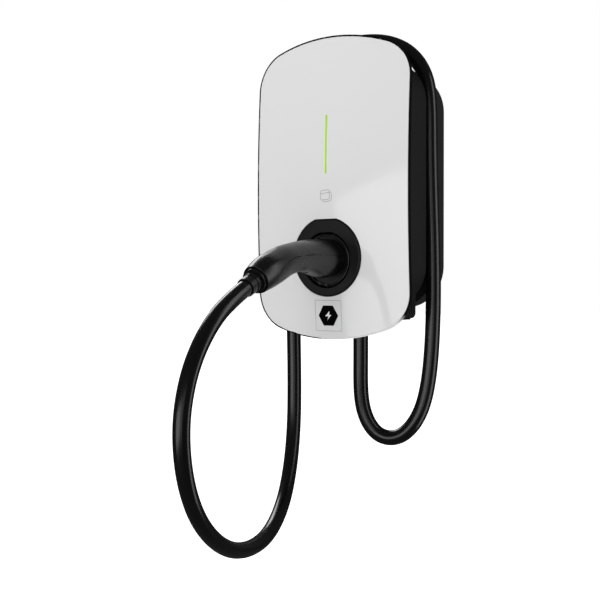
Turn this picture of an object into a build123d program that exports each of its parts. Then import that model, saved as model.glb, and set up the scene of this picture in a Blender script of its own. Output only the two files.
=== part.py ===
from build123d import *
import math
import os

os.makedirs("parts", exist_ok=True)

# Sizes in mm: x to the right, y into the wall, z up, origin on the wall behind the panel centre

# Depth from the wall to the front of the panel
flange_depth = 20.0
groove_width = 19.5
tub_depth = 38.5
panel_depth = 18.0
total_depth = flange_depth + groove_width + tub_depth + panel_depth
wall_y = 0.0
flange_y = -flange_depth
tub_back_y = flange_y - groove_width
tub_front_y = tub_back_y - tub_depth
apex_y = -total_depth

# Front panel: arched ends, round corners, domed both ways
panel_width = 181.0
panel_height = 305.5
panel_end_radius = 200.0
panel_corner_radius = 40.0
crown_radius_x = 549.0
crown_radius_z = 1604.0
glass_thickness = 3.0
glass_edge_round = 0.7
rim_width = 0.9
edge_depth = 3.8
rim_drop = 0.35
carrier_plate = 2.4
carrier_wall = 2.4
carrier_ledge = 2.0
light_line_length = 59.0
light_line_width = 1.8
light_line_z = 43.5
light_line_gap = 0.05

# Housing tub and what closes it
wall = 3.0
panel_overhang = 7.0
panel_overhang_top = 22.75
panel_overhang_bottom = 31.75
tub_half_width = panel_width / 2 - panel_overhang
tub_top = panel_height / 2 - panel_overhang_top
tub_bottom = panel_overhang_bottom - panel_height / 2
tub_top_radius = 45.0
tub_bottom_radius = 43.0
locating_lip = 1.5
fit = 0.2
cover_thickness = 2.5
cover_set_back = 2.0
gasket_thickness = 1.5
ledge_width = 2.5
ledge_depth = 3.5
cover_boss_d = 7.0
cover_boss_inset = 9.2
cover_screw_d = 3.0

# Rear shell: the neck is the floor of the cable groove
flange_inset = 0.5
flange_drop = 7.0
flange_half_width = tub_half_width - flange_inset
flange_top = tub_top - flange_drop
flange_bottom = tub_bottom
flange_radius = 43.0
groove_depth = 12.0
groove_depth_top = 5.0
groove_depth_bottom = 9.0
neck_half_width = flange_half_width - groove_depth
neck_top = flange_top - groove_depth_top
neck_bottom = flange_bottom + groove_depth_bottom
neck_radius = 26.0
shell_wall = 2.5
post_d = 12.0
post_x = 46.0
post_z = (-48.0, 52.0)
shell_screw_d = 5.0

# Wall bracket
bracket_width = 124.0
bracket_height = 190.0
bracket_centre_z = 0.0
bracket_thickness = 2.0
bracket_hole_d = 6.5
bracket_hole_x = 90.0
bracket_hole_z = 150.0
hook_width = 22.0
hook_reach = 10.0

# Holster and charging plug, set square to the domed panel
holster_z = -69.6
holster_front_y = apex_y + 0.9
holster_tilt = 2.5
bezel_radius = 40.0
bezel_flat = 38.0
bezel_thickness = 5.8
bezel_round = 1.8
opening_radius = 28.0
opening_flat = 24.2
opening_drop = 3.0
holster_seal_thickness = 1.9
holster_depth = 44.0
cup_flange_radius = 39.4
cup_flange = 2.5
holster_screw_d = 3.0
holster_screw_circle = 36.4
nose_clearance = 1.1
nose_front = 9.0
nose_back = 40.0
collar_radius = 25.0
collar_flat = 21.4
sleeve_d = 6.0
pilot_sleeve_d = 3.6
handle_wall = 2.8

# Handle sections: y, centre z, tilt, half width, half height
handle_sections = [
    (apex_y + 4.2, -70.6, 2.5, 20.4, 17.2),
    (apex_y - 3.0, -71.0, 2.5, 21.6, 18.8),
    (apex_y - 9.0, -71.3, 2.5, 21.8, 19.7),
    (apex_y - 15.5, -71.2, 2.5, 20.9, 19.3),
    (apex_y - 27.0, -70.3, 2.5, 18.9, 17.2),
    (apex_y - 38.3, -69.9, 2.5, 17.6, 15.6),
    (apex_y - 49.6, -70.6, 5.0, 17.0, 14.8),
    (apex_y - 62.0, -72.7, 11.0, 16.8, 14.7),
    (apex_y - 75.0, -75.9, 18.0, 16.8, 15.2),
    (apex_y - 87.4, -80.7, 22.0, 16.8, 15.7),
    (apex_y - 100.8, -86.0, 24.0, 16.2, 15.9),
    (apex_y - 108.6, -89.55, 24.8, 15.2, 15.0),
    (apex_y - 116.3, -93.3, 25.0, 13.8, 13.7),
]
handle_run_out = (apex_y - 124.0, -97.0, 25.2, 12.3, 12.2)
seam_points = [
    (apex_y + 12.0, -69.6),
    (apex_y - 34.0, -68.6),
    (apex_y - 67.0, -70.6),
    (apex_y - 83.0, -74.8),
    (apex_y - 94.0, -80.8),
    (apex_y - 99.6, -88.5),
    (apex_y - 101.0, -112.0),
]
seam_gap = 0.2
nut_d = 24.2
nut_shank_d = 21.4
nut_inner_d = 18.2
nut_front = 3.6
lip_recess_d = 25.2
lip_recess_depth = 2.4
boot_bead_d = 19.2
boot_length = 17.4

# Charging cable and glands
cable_d = 15.4
gland_x = 17.3
gland_y = apex_y + 39.5
gland_thread_d = 25.0
gland_hex = 29.0
gland_thread_length = 8.0
supply_gland_x = -35.0
cable_in_housing = 13.0
cable_in_nut = 6.0

# Circuit board in the tub
board_thickness = 1.6
board_width = 124.0
board_bottom = -26.0
board_top = 104.0
standoff_height = 6.0
standoff_d = 7.0


def save(name, shape):
    shape.label = name
    export_step(shape, f"parts/{name}.step")


def slab(outline, front, back):
    base = Plane(origin=(0, back, 0), x_dir=(1, 0, 0), z_dir=(0, -1, 0))
    return extrude(base * outline, amount=back - front)


def box(x0, x1, y0, y1, z0, z1):
    return Pos((x0 + x1) / 2, (y0 + y1) / 2, (z0 + z1) / 2) * Box(x1 - x0, y1 - y0, z1 - z0)


def rod_y(x, z, d, front, back):
    return slab(Pos(x, z) * Circle(d / 2), front, back)


def rod_z(x, y, d, z0, z1):
    return Pos(x, y, (z0 + z1) / 2) * Cylinder(d / 2, z1 - z0)


def panel_outline(inset=0.0):
    end = panel_end_radius - inset
    centre = panel_height / 2 - panel_end_radius
    shape = Rectangle(panel_width - 2 * inset, panel_height - 2 * inset)
    shape = shape & (Pos(0, centre) * Circle(end)) & (Pos(0, -centre) * Circle(end))
    return fillet(shape.vertices(), panel_corner_radius - inset)


def round_box(half_width, bottom, top, bottom_radius, top_radius, inset=0.0):
    width = 2 * (half_width - inset)
    shape = Pos(0, (top + bottom) / 2) * Rectangle(width, top - bottom - 2 * inset)
    ends = shape.vertices().sort_by(Axis.Y)
    shape = fillet(ends[:2], bottom_radius - inset)
    ends = [v for v in shape.vertices() if v.Y > top - inset - 0.01]
    return fillet(ends, top_radius - inset)


def tub_outline(inset=0.0):
    return round_box(
        tub_half_width, tub_bottom, tub_top, tub_bottom_radius, tub_top_radius, inset
    )


def neck_outline(inset=0.0):
    return round_box(neck_half_width, neck_bottom, neck_top, neck_radius, neck_radius, inset)


def flange_outline(inset=0.0):
    return round_box(
        flange_half_width, flange_bottom, flange_top, flange_radius, flange_radius, inset
    )


def behind_dome(depth):
    # Everything that lies behind the panel's front surface, moved back by a depth
    front = apex_y + depth
    rx = crown_radius_x - depth
    rz = crown_radius_z - depth
    half = panel_width * 0.6
    rim_points = []
    for k in range(-6, 7):
        x = half * k / 6
        rim_points.append((x, front + rx - math.sqrt(rx**2 - x**2)))
    rim = Spline(*rim_points)
    back = Polyline(rim_points[-1], (half, 5), (-half, 5), rim_points[0])
    profile = make_face([rim, back])
    axis = Axis((0, front + rz, 0), (1, 0, 0))
    swing = math.degrees(math.asin(panel_height * 0.56 / crown_radius_z))
    return revolve(profile, axis=axis, revolution_arc=2 * swing).rotate(axis, -swing)


def dome_y(x, z):
    r = crown_radius_z - crown_radius_x + math.sqrt(crown_radius_x**2 - x**2)
    return apex_y + crown_radius_z - math.sqrt(r**2 - z**2)


# The holster's own frame: z points out of the opening, y up
holster_plane = Plane(
    origin=(0, holster_front_y, holster_z),
    x_dir=(1, 0, 0),
    z_dir=(
        0,
        -math.cos(math.radians(holster_tilt)),
        -math.sin(math.radians(holster_tilt)),
    ),
)


def flat_circle(radius, flat, drop=0.0, corner=3.0):
    shape = (Pos(0, -drop) * Circle(radius)) - (Pos(0, flat + 50) * Rectangle(200, 100))
    return fillet(shape.vertices(), corner)


def opening_outline(grow=0.0):
    return flat_circle(opening_radius + grow, opening_flat + grow, opening_drop, 6.0 + grow / 2)


def bezel_outline(grow=0.0):
    return flat_circle(bezel_radius + grow, bezel_flat + grow, 0.0, 4.0)


def holster(outline, front, back):
    # Distances run into the wall from the bezel's front
    return holster_plane * (Pos(0, 0, -back) * extrude(outline, amount=back - front))


def holster_screw_points():
    angles = (40, 140, 218, 322)
    return [
        (
            holster_screw_circle * math.cos(math.radians(a)),
            holster_screw_circle * math.sin(math.radians(a)),
        )
        for a in angles
    ]


# Front panel of glass
glass_hole_fit = 0.2
glass = slab(panel_outline(rim_width), apex_y - 5, tub_front_y)
glass = (glass & behind_dome(0)) - behind_dome(glass_thickness)
glass = glass.solids().sort_by(SortBy.VOLUME)[-1]


def on_front_rim(edge):
    middle = edge.position_at(0.5)
    return abs(middle.Y - dome_y(middle.X, middle.Z)) < 0.05


front_rim = [e for e in glass.edges() if on_front_rim(e)]
glass = fillet(front_rim, glass_edge_round)
light_slot = slab(
    Pos(0, light_line_z) * SlotOverall(light_line_length, light_line_width, rotation=90),
    apex_y - 5,
    tub_front_y - 2,
)
bezel_seat = holster(bezel_outline(glass_hole_fit), -6, bezel_thickness)
glass = glass - light_slot - holster(bezel_outline(glass_hole_fit), -6, 16)
save("front_panel", glass)

# Carrier behind the glass: thin rim in front, plate, skirt and ledge over the tub
carrier_back = glass_thickness + carrier_plate
pad_back = 8.4
led_board_y = apex_y + 9.9
reader_board_y = apex_y + 8.4
led_posts = [(0, 8.0), (0, 79.0)]
reader_posts = [(-28.0, -25.0), (28.0, -25.0), (-28.0, 1.0), (28.0, 1.0)]
hollow = slab(tub_outline(carrier_wall), apex_y - 5, tub_front_y - carrier_ledge)
hollow = hollow & behind_dome(carrier_back)
hollow = hollow - holster(Circle(bezel_radius + 1.5), -6, pad_back)
for x, z in led_posts:
    hollow = hollow - rod_y(x, z, 4.0, apex_y - 4, led_board_y)
for x, z in reader_posts:
    hollow = hollow - rod_y(x, z, 4.0, apex_y - 4, reader_board_y)
carrier = slab(panel_outline(), apex_y - 5, tub_front_y) & behind_dome(rim_drop)
glass_space = slab(panel_outline(rim_width), apex_y - 6, tub_front_y)
carrier = carrier - (glass_space - behind_dome(glass_thickness))
outside = slab(panel_outline(-4.0), apex_y - 6, tub_front_y + 1)
outside = outside - slab(tub_outline(), apex_y - 7, tub_front_y + 2)
carrier = carrier - (outside & behind_dome(edge_depth))
carrier = carrier - hollow
carrier = carrier - slab(tub_outline(wall + locating_lip + fit), tub_front_y - 3, tub_front_y + 1)
lip = slab(tub_outline(wall + fit), tub_front_y, tub_front_y + locating_lip)
lip = lip - slab(tub_outline(wall + fit + locating_lip), tub_front_y - 2, tub_front_y + 3)
carrier = carrier + lip
carrier = carrier - light_slot
carrier = carrier - holster(bezel_outline(glass_hole_fit), -6, bezel_thickness)
carrier = carrier - holster(opening_outline(5.2), -6, 20)
for x, y in holster_screw_points():
    hole = Pos(x, y) * Circle(holster_screw_d / 2 + 0.2)
    carrier = carrier - holster(hole, 0, 20)
save("panel_carrier", carrier)

# Light guide: its nose fills the slot flush with the glass
guide_flange_y = apex_y + 7.4
nose_outline = SlotOverall(
    light_line_length - 2 * light_line_gap,
    light_line_width - 2 * light_line_gap,
    rotation=90,
)
guide = slab(Pos(0, light_line_z) * nose_outline, apex_y - 5, guide_flange_y) & behind_dome(0.05)
guide_flange = Rectangle(7.0, light_line_length + 5.0)
guide_flange = slab(Pos(0, light_line_z) * guide_flange, guide_flange_y, guide_flange_y + 2.0)
guide = guide + guide_flange
save("light_guide", guide)

# Board with a row of lamps behind the light guide
led_board = box(-6, 6, led_board_y, led_board_y + board_thickness, 4.5, 82.5)
lamp_front = guide_flange_y + 2.0
lamps = [
    box(-1.4, 1.4, lamp_front, led_board_y, light_line_z + i * 6.8 - 1.4, light_line_z + i * 6.8 + 1.4)
    for i in range(-4, 5)
]
led_board = Compound(children=[led_board] + lamps)
save("led_board", led_board)

# Card reader board with its coil
reader = box(-32, 32, reader_board_y, reader_board_y + board_thickness, -29, 4)
coil_front = reader_board_y - 0.3
coil = slab(Pos(0, -12) * RectangleRounded(50, 22, 3), coil_front, reader_board_y)
coil = coil - slab(Pos(0, -12) * RectangleRounded(44, 16, 2), coil_front - 1, reader_board_y + 1)
reader_chip = box(-5, 5, coil_front - 0.4, reader_board_y, -16, -8)
save("reader_board", Compound(children=[reader, coil, reader_chip]))

# Holster bezel
bezel = extrude(bezel_outline(), amount=bezel_thickness)
bezel = fillet(bezel.edges().group_by(Axis.Z)[-1], bezel_round)
bezel = bezel - extrude(opening_outline(), amount=bezel_thickness)
inner_edge = [e for e in bezel.edges() if e.position_at(0.3).Z > bezel_thickness - 0.01]
inner_edge = [e for e in inner_edge if e.position_at(0.3).length < opening_radius + 10]
bezel = chamfer(inner_edge, 0.6)
bezel = holster_plane * (Pos(0, 0, -bezel_thickness) * bezel)
for x, y in holster_screw_points():
    hole = Pos(x, y) * Circle(holster_screw_d / 2 + 0.05)
    bezel = bezel - holster(hole, bezel_thickness - 3.2, bezel_thickness + 1)
save("holster_bezel", bezel)

# Seal between bezel and cup
cup_front = bezel_thickness + holster_seal_thickness
seal_ring = opening_outline(wall - 0.2) - opening_outline(0.4)
save("holster_seal", holster(seal_ring, bezel_thickness, cup_front))

# Holster cup, closed at the back, with drain slots low in its front rim
cup = holster(opening_outline(wall), cup_front, holster_depth + wall)
cup = cup - holster(opening_outline(), cup_front - 1, holster_depth)
cup_rim = holster(flat_circle(cup_flange_radius, 30.0), pad_back, pad_back + cup_flange)
cup = cup + (cup_rim - holster(opening_outline(wall - 0.5), 0, 30))
for i in range(-2, 3):
    angle = math.radians(270 + 11 * i)
    reach = opening_radius + 1.0
    slot_at = Pos(reach * math.cos(angle), reach * math.sin(angle) - opening_drop)
    slot = slot_at * Rot(0, 0, math.degrees(angle) - 90) * Rectangle(3.4, 5.0)
    cup = cup - holster(slot, cup_front - 1, cup_front + 0.9)
drain = Pos(0, -opening_radius - opening_drop - 1.5) * Rectangle(5.0, 8.0)
cup = cup - holster(drain, holster_depth - 6, holster_depth - 2)
for x, y in holster_screw_points():
    hole = Pos(x, y) * Circle(holster_screw_d / 2 + 0.2)
    cup = cup - holster(hole, 0, 30)
save("holster_cup", cup)

screws = []
for x, y in holster_screw_points():
    shank = Pos(x, y) * Circle(holster_screw_d / 2)
    head = Pos(x, y) * Circle(holster_screw_d * 0.85)
    screw = holster(shank, bezel_thickness - 3.0, pad_back + cup_flange)
    screw = screw + holster(head, pad_back + cup_flange, pad_back + cup_flange + 2.0)
    socket = Pos(x, y) * RegularPolygon(1.1, 6)
    screws.append(screw - holster(socket, pad_back + cup_flange + 0.8, 20))
save("holster_screws", Compound(children=screws))

# Housing tub, open to the front
ledge_y = tub_front_y + cover_set_back + cover_thickness + gasket_thickness
cover_back = tub_front_y + cover_set_back + cover_thickness
boss_points = []
for side in (-1, 1):
    edge_x = tub_half_width - cover_boss_inset
    boss_points += [(side * edge_x, 45.0), (side * edge_x, -30.0)]
    top = tub_top_radius - cover_boss_inset
    boss_points.append(
        (side * (tub_half_width - tub_top_radius + top * 0.7071), tub_top - tub_top_radius + top * 0.7071)
    )
    low = tub_bottom_radius - cover_boss_inset
    boss_points.append(
        (
            side * (tub_half_width - tub_bottom_radius + low * 0.7071),
            tub_bottom + tub_bottom_radius - low * 0.7071,
        )
    )
floor_y = tub_back_y - wall
tub = slab(tub_outline(), tub_front_y, tub_back_y)
tub = tub - slab(tub_outline(wall), tub_front_y - 1, ledge_y)
tub = tub - slab(tub_outline(wall + ledge_width), tub_front_y - 1, ledge_y + ledge_depth)
tub = tub - slab(tub_outline(wall), ledge_y + ledge_depth, floor_y)
for x, z in boss_points:
    boss = rod_y(x, z, cover_boss_d, cover_back, floor_y)
    rib_end = x + math.copysign(cover_boss_inset - wall, x)
    rib = box(min(x, rib_end), max(x, rib_end), ledge_y + ledge_depth, floor_y, z - 1, z + 1)
    tub = tub + boss + rib
    tub = tub - rod_y(x, z, cover_screw_d + 0.1, cover_back - 1, cover_back + 12)
board_holes = [(x, z) for x in (-58.0, 58.0) for z in (8.0, 98.0)]
for x, z in board_holes:
    tub = tub - rod_y(x, z, 2.6, floor_y - 1, tub_back_y - 0.8)
shell_holes = [(x, z) for x in (-60.0, 60.0) for z in (-92.0, 88.0)]
for x, z in shell_holes:
    tub = tub - rod_y(x, z, shell_screw_d + 0.4, floor_y - 1, tub_back_y + 1)
boss_top = tub_bottom + gland_thread_length
for x in (gland_x, supply_gland_x):
    half = gland_thread_d / 2 + 3
    boss = box(x - half, x + half, ledge_y + 0.5, floor_y, tub_bottom + wall, boss_top)
    tub = tub + boss
    tub = tub - rod_z(x, gland_y, gland_thread_d + 0.1, tub_bottom - 1, boss_top + 1)
vent_x = -8.0
vent_d = 10.0
tub = tub - rod_z(vent_x, gland_y, vent_d + 0.1, tub_bottom - 1, tub_bottom + wall + 1)
port_hole_x = (55.0, 66.0)
save("housing_tub", tub)

# Inner cover on its gasket
cover = slab(tub_outline(wall + 0.4), cover_back - cover_thickness, cover_back)
cup_hole = Pos(0, holster_z - opening_drop + 0.9) * Circle(opening_radius + wall + 1.2)
cover = cover - slab(cup_hole, cover_back - 10, cover_back + 10)
for x, z in boss_points:
    cover = cover - rod_y(x, z, cover_screw_d + 0.4, cover_back - 10, cover_back + 1)
control_posts = [(x, z) for x in (-50.0, 50.0) for z in (27.0, 95.0)]
control_board_y = cover_back - cover_thickness - 5.0
for x, z in control_posts:
    cover = cover + rod_y(x, z, 6.0, control_board_y, cover_back - cover_thickness)
ribbon_slot = box(-18, 18, cover_back - 10, cover_back + 10, 12, 17)
cover = cover - ribbon_slot
save("inner_cover", cover)

gasket = slab(tub_outline(wall + 0.2), cover_back, ledge_y)
gasket = gasket - slab(tub_outline(wall + ledge_width - 0.3), cover_back - 1, ledge_y + 1)
save("cover_gasket", gasket)


def screw_y(x, z, d, seat, length):
    # Screw driven from the front, its head in front of the seat
    shape = rod_y(x, z, d, seat, seat + length)
    shape = shape + rod_y(x, z, d * 1.8, seat - d * 0.6, seat)
    socket = slab(Pos(x, z) * RegularPolygon(d * 0.42, 6), seat - d, seat - d * 0.2)
    return shape - socket


cover_front = cover_back - cover_thickness
cover_screws = [screw_y(x, z, cover_screw_d, cover_front, 11.0) for x, z in boss_points]
save("cover_screws", Compound(children=cover_screws))

# Rear shell: neck with the cable groove round it, and the flange on the wall
neck_front = tub_back_y + shell_wall
rear = slab(neck_outline(), tub_back_y, flange_y + shell_wall)
rear = rear + slab(flange_outline(), flange_y, wall_y)
rear = rear - slab(neck_outline(shell_wall), neck_front, wall_y + 1)
rear = rear - slab(flange_outline(shell_wall), flange_y + shell_wall, wall_y + 1)
bracket_front = wall_y - bracket_thickness
for x in (-post_x, post_x):
    for z in post_z:
        rear = rear + rod_y(x, z, post_d, neck_front - 0.5, bracket_front)
        rear = rear - rod_y(x, z, 4.2, bracket_front - 14, wall_y)
for x, z in shell_holes:
    rear = rear + rod_y(x, z, 11.0, tub_back_y, tub_back_y + 12)
    rear = rear - rod_y(x, z, shell_screw_d + 0.1, tub_back_y - 1, tub_back_y + 10.5)
hook_z = bracket_centre_z + bracket_height / 2
for x in (-40.0, 40.0):
    shelf = box(x - 14, x + 14, neck_front - 0.5, bracket_front - 3.0, hook_z - 6.5, hook_z - 3.5)
    rear = rear + shelf
side_rib_x = 30.0
for x in (-side_rib_x, side_rib_x):
    rear = rear + box(x - 1.2, x + 1.2, neck_front - 0.5, flange_y, -90.0, 90.0)
save("rear_shell", rear)

shell_screws = [screw_y(x, z, shell_screw_d, floor_y, 12.5) for x, z in shell_holes]
save("shell_screws", Compound(children=shell_screws))

# Steel wall bracket with two hooks that the rear shell's shelves hang on
bracket = slab(
    Pos(0, bracket_centre_z) * RectangleRounded(bracket_width, bracket_height, 8),
    bracket_front,
    wall_y,
)
for x in (-bracket_hole_x / 2, bracket_hole_x / 2):
    for z in (bracket_centre_z - bracket_hole_z / 2, bracket_centre_z + bracket_hole_z / 2):
        bracket = bracket - rod_y(x, z, bracket_hole_d, bracket_front - 1, wall_y + 1)
bracket = bracket - slab(
    Pos(0, bracket_centre_z - 4) * RectangleRounded(60, 100, 10), bracket_front - 1, wall_y + 1
)
for x in (-40.0, 40.0):
    arm = box(
        x - hook_width / 2,
        x + hook_width / 2,
        bracket_front - hook_reach,
        bracket_front,
        hook_z - 3.5,
        hook_z - 3.5 + bracket_thickness,
    )
    bracket = bracket + arm
bracket_screws = []
for x in (-post_x, post_x):
    for z in post_z:
        seat = Pos(x, wall_y - 0.65, z) * Rot(90, 0, 0) * Cone(2.1, 3.8, 1.5)
        bracket = bracket - seat - rod_y(x, z, 4.2, bracket_front - 1, wall_y + 1)
        shank = rod_y(x, z, 4.0, bracket_front - 12, wall_y - 0.6)
        cone = Pos(x, wall_y - 0.7, z) * Rot(90, 0, 0) * Cone(2.0, 3.6, 1.3)
        bracket_screws.append(shank + cone)
save("wall_bracket", bracket)
save("bracket_screws", Compound(children=bracket_screws))

# Main board on standoffs
board_back = floor_y - standoff_height
board_front = board_back - board_thickness
main_board = box(-board_width / 2, board_width / 2, board_front, board_back, board_bottom, board_top)
for x, z in board_holes:
    main_board = main_board - rod_y(x, z, 3.2, board_front - 1, board_back + 1)
save("main_board", main_board)
standoffs = []
board_screws = []
for x, z in board_holes:
    post = slab(Pos(x, z) * RegularPolygon(standoff_d / 2, 6), board_back, floor_y)
    post = post + rod_y(x, z, 2.5, floor_y, floor_y + 1.8)
    standoffs.append(post - rod_y(x, z, 2.6, board_back - 1, board_back + 4.5))
    board_screws.append(screw_y(x, z, 2.5, board_front, 5.5))
save("board_standoffs", Compound(children=standoffs))
save("board_screws", Compound(children=board_screws))

# Parts on the main board
relays = []
for x in (-32.0, 0.0):
    case = box(x - 14, x + 14, board_front - 20, board_front, 58, 92)
    relays.append(fillet(case.edges().group_by(Axis.Y)[0], 1.0))
save("power_relays", Compound(children=relays))
sensor = rod_y(37.0, 72.0, 32.0, board_front - 13, board_front)
sensor = sensor - rod_y(37.0, 72.0, 16.0, board_front - 14, board_front + 1)
save("current_sensor", fillet(sensor.edges().group_by(Axis.Y)[0], 1.5))
capacitors = []
for z in (15.5, 28.5, 41.5):
    case = box(-50, -22, board_front - 17, board_front, z - 4.5, z + 4.5)
    capacitors.append(fillet(case.edges().group_by(Axis.Y)[0], 0.8))
save("filter_capacitors", Compound(children=capacitors))
supply = box(14, 50, board_front - 18, board_front, 20, 46)
supply = fillet(supply.edges().group_by(Axis.Y)[0], 0.8)
save("supply_module", supply)
save("board_header", box(-15, 15, board_front - 9, board_front, 11.5, 17.5))


def terminal_row(x0, count, pitch):
    low = board_bottom + 2.0
    block = box(x0, x0 + count * pitch, board_front - 15, board_front, low, low + 14)
    for i in range(count):
        x = x0 + (i + 0.5) * pitch
        entry = Pos(x, board_front - 6.5, low + 3) * Box(pitch * 0.62, 6.0, 8.0)
        driver = rod_y(x, low + 8.5, pitch * 0.55, board_front - 16, board_front - 11)
        block = block - entry - driver
    return block


lead_pitch = 8.0
save("terminal_block", terminal_row(2.0, 7, lead_pitch))
save("supply_terminals", terminal_row(-58.0, 5, 10.0))

# Control board on the inner cover, with its radio
control_back = control_board_y
control_front = control_board_y - board_thickness
control = box(-56, 56, control_front, control_back, 21, 101)
save("control_board", control)
radio = box(22, 46, control_front - 2.6, control_front, 70, 86)
radio = fillet(radio.edges().group_by(Axis.Y)[0], 0.5)
save("radio_module", radio)


def gland_body(x):
    body = Pos(x, gland_y, tub_bottom - 5) * extrude(RegularPolygon(gland_hex / 1.7321, 6), 5)
    body = body + rod_z(x, gland_y, gland_thread_d, tub_bottom - 1, tub_bottom + gland_thread_length)
    body = body + rod_z(x, gland_y, gland_thread_d - 1.0, tub_bottom - 15, tub_bottom - 4)
    body = body - rod_z(x, gland_y, cable_d + 0.6, tub_bottom - 16, tub_bottom + 20)
    pocket = rod_z(x, gland_y, gland_thread_d - 4.0, tub_bottom - 16, tub_bottom - 6)
    return body - pocket


def gland_nut(x, bore):
    top = tub_bottom - 5.4
    skirt = Pos(x, gland_y, top - 13) * extrude(RegularPolygon(gland_hex / 1.7321, 6), 13)
    dome = Pos(x, gland_y, top - 13 - 3.5) * Cone(10.5, 13.6, 7)
    dome = fillet(dome.edges().sort_by(Axis.Z)[0], 1.5)
    nut = skirt + dome
    nut = nut - rod_z(x, gland_y, gland_thread_d - 0.8, top - 12, top + 1)
    return nut - rod_z(x, gland_y, bore, top - 25, top + 1)


def gland_seal(x, bore):
    seal = rod_z(x, gland_y, gland_thread_d - 4.2, tub_bottom - 16.8, tub_bottom - 6.2)
    if bore:
        seal = seal - rod_z(x, gland_y, bore, tub_bottom - 20, tub_bottom)
    return seal


save("charging_gland_body", gland_body(gland_x))
save("charging_gland_seal", gland_seal(gland_x, cable_d + 0.3))
save("charging_gland_nut", gland_nut(gland_x, cable_d + 1.0))
save("supply_gland_body", gland_body(supply_gland_x))
save("supply_gland_nut", gland_nut(supply_gland_x, 14.0))
save("supply_gland_plug", gland_seal(supply_gland_x, 0))

# Vent plug
vent = rod_z(vent_x, gland_y, vent_d, tub_bottom - 0.5, tub_bottom + wall + 2)
vent = vent + rod_z(vent_x, gland_y, vent_d + 4, tub_bottom - 3.5, tub_bottom)
vent = fillet(vent.edges().sort_by(Axis.Z)[0], 0.8)
save("vent_plug", vent)

# Port for the signal line, under the tub's right corner
port_x = (50.0, 74.0)
port_y = (-66.0, -44.0)
port_bottom = -131.3
port = box(port_x[0], port_x[1], port_y[0], port_y[1], port_bottom, -98.0)
corner_edges = port.edges().filter_by(Axis.Y).group_by(Axis.Z)[0]
port = fillet(corner_edges, 5.0)
port = port - slab(tub_outline(), tub_front_y, tub_back_y)
port = port.solids().sort_by(Axis.Z)[0]
port_socket = box(port_x[0] + 5, port_x[1] - 5, port_y[0] + 4, port_y[1] - 4, port_bottom - 1, -122.5)
port = port - port_socket
for i in range(4):
    y = port_y[0] + 4.0 + i * 4.6
    port = port - box(port_x[1] - 0.8, port_x[1] + 1, y, y + 1.2, port_bottom + 5, -112.0)
save("signal_port", port)
cap = box(port_x[0] + 5.1, port_x[1] - 5.1, port_y[0] + 4.1, port_y[1] - 4.1, port_bottom, -122.5)
cap = cap + box(
    port_x[0] + 4, port_x[1] - 4, port_y[0] + 3, port_y[1] - 3, port_bottom - 1.2, port_bottom
)
save("signal_port_cap", cap)

# Plug nose: shroud round a core with seven bores, and the collar in front of it
nose_radius = opening_radius - nose_clearance
nose_flat = opening_flat - nose_clearance
nose_outline = flat_circle(nose_radius, nose_flat, opening_drop, 5.5)
nose_inner = flat_circle(nose_radius - 2.4, nose_flat - 2.4, opening_drop, 4.0)
nose = holster(nose_outline, nose_front, nose_back)
nose = nose - holster(nose_inner, nose_front + 6, nose_back + 1)
collar_outline = flat_circle(collar_radius, collar_flat, opening_drop, 5.0)
collar = holster(collar_outline, 3.4, nose_front)
spigot = holster(Pos(0, -1.8) * Ellipse(16.0, 13.0), -6.0, 4.0)
core_circle = Pos(0, -opening_drop) * Circle(20.5)
core = holster(core_circle - (Pos(0, 16 + 50) * Rectangle(200, 100)), nose_front, nose_back - 3)
nose = nose + collar + spigot + core
contact_points = [(0.0, 0.0), (-9.6, 0.0), (9.6, 0.0), (-5.2, -9.0), (5.2, -9.0)]
pilot_points = [(-6.0, 9.4), (6.0, 9.4)]
for x, y in contact_points:
    bore = Pos(x, y - opening_drop) * Circle(sleeve_d / 2 + 0.1)
    nose = nose - holster(bore, -8.0, nose_back)
for x, y in pilot_points:
    bore = Pos(x, y - opening_drop) * Circle(pilot_sleeve_d / 2 + 0.1)
    nose = nose - holster(bore, -8.0, nose_back)
save("plug_nose", nose)

sleeves = []
sleeve_front = -3.0
for points, d in ((contact_points, sleeve_d), (pilot_points, pilot_sleeve_d)):
    for x, y in points:
        tube = Pos(x, y - opening_drop) * Circle(d / 2)
        inner = Pos(x, y - opening_drop) * Circle(d / 2 - 0.8)
        sleeve = holster(tube, sleeve_front, nose_back - 5)
        sleeves.append(sleeve - holster(inner, sleeve_front + 12, nose_back))
save("plug_sleeves", Compound(children=sleeves))

plug_seal_ring = core_circle.moved(Location((0, 0, 0)))
seal_outer = Pos(0, -opening_drop) * Circle(nose_radius - 2.6)
seal_ring = (seal_outer & nose_inner) - core_circle
seal = holster(seal_ring, nose_front + 6.0, nose_front + 8.0)
save("plug_seal", seal)


# Handle: a smooth hollow grip through its sections, split along the seam
def section(row, thinner=0.0):
    y, z, tilt, half_width, half_height = row
    angle = math.radians(tilt)
    plane = Plane(
        origin=(0, y, z),
        x_dir=(1, 0, 0),
        z_dir=(0, -math.cos(angle), -math.sin(angle)),
    )
    return plane * Ellipse(half_width - thinner, half_height - thinner)


handle = loft([section(row) for row in handle_sections + [handle_run_out]])
lip_y, lip_z, lip_tilt, lip_radius, _ = handle_sections[-1]
throat = nut_shank_d / 2 - 1.0 + handle_wall
inner_rows = handle_sections[:-2]
inner_rows.append((lip_y + 6.0, lip_z + 2.8, lip_tilt, throat + 0.1, throat))
hollow = loft([section(row, handle_wall) for row in inner_rows])
lip_plane = Plane(
    origin=(0, lip_y, lip_z),
    x_dir=(1, 0, 0),
    z_dir=(0, -math.cos(math.radians(lip_tilt)), -math.sin(math.radians(lip_tilt))),
)


def at_lip(shape):
    return lip_plane * shape


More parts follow.
